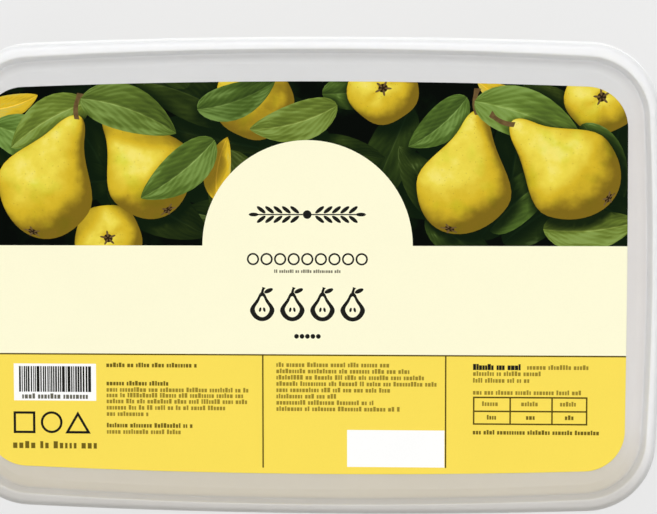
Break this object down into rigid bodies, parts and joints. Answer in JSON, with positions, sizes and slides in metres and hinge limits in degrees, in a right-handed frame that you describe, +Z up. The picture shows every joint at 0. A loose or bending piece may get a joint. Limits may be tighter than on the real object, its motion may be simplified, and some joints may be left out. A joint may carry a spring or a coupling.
{
  "type": "rectangular snap-lid food tub",
  "caption": "Closed rectangular plastic food tub filled with fruit puree: tapered thin-walled tub, press-on lid with a stacking recess, and a printed film label on the lid.",
  "frame": {"origin": "middle of the base, on the plane that the foot ring stands on", "axes": "+X along the length, +Y across the width, towards the head of the label's print, +Z up out of the lid"},
  "size_m": [0.1886, 0.1274, 0.064],
  "materials": {
    "tub_plastic": "satin",
    "fruit_puree": "satin",
    "lid_plastic": "satin",
    "label_film": "satin"
  },
  "bodies": {
    "root": {"tub": "tub_plastic", "puree": "fruit_puree", "lid": "lid_plastic", "label": "label_film"}
  },
  "joints": []
}
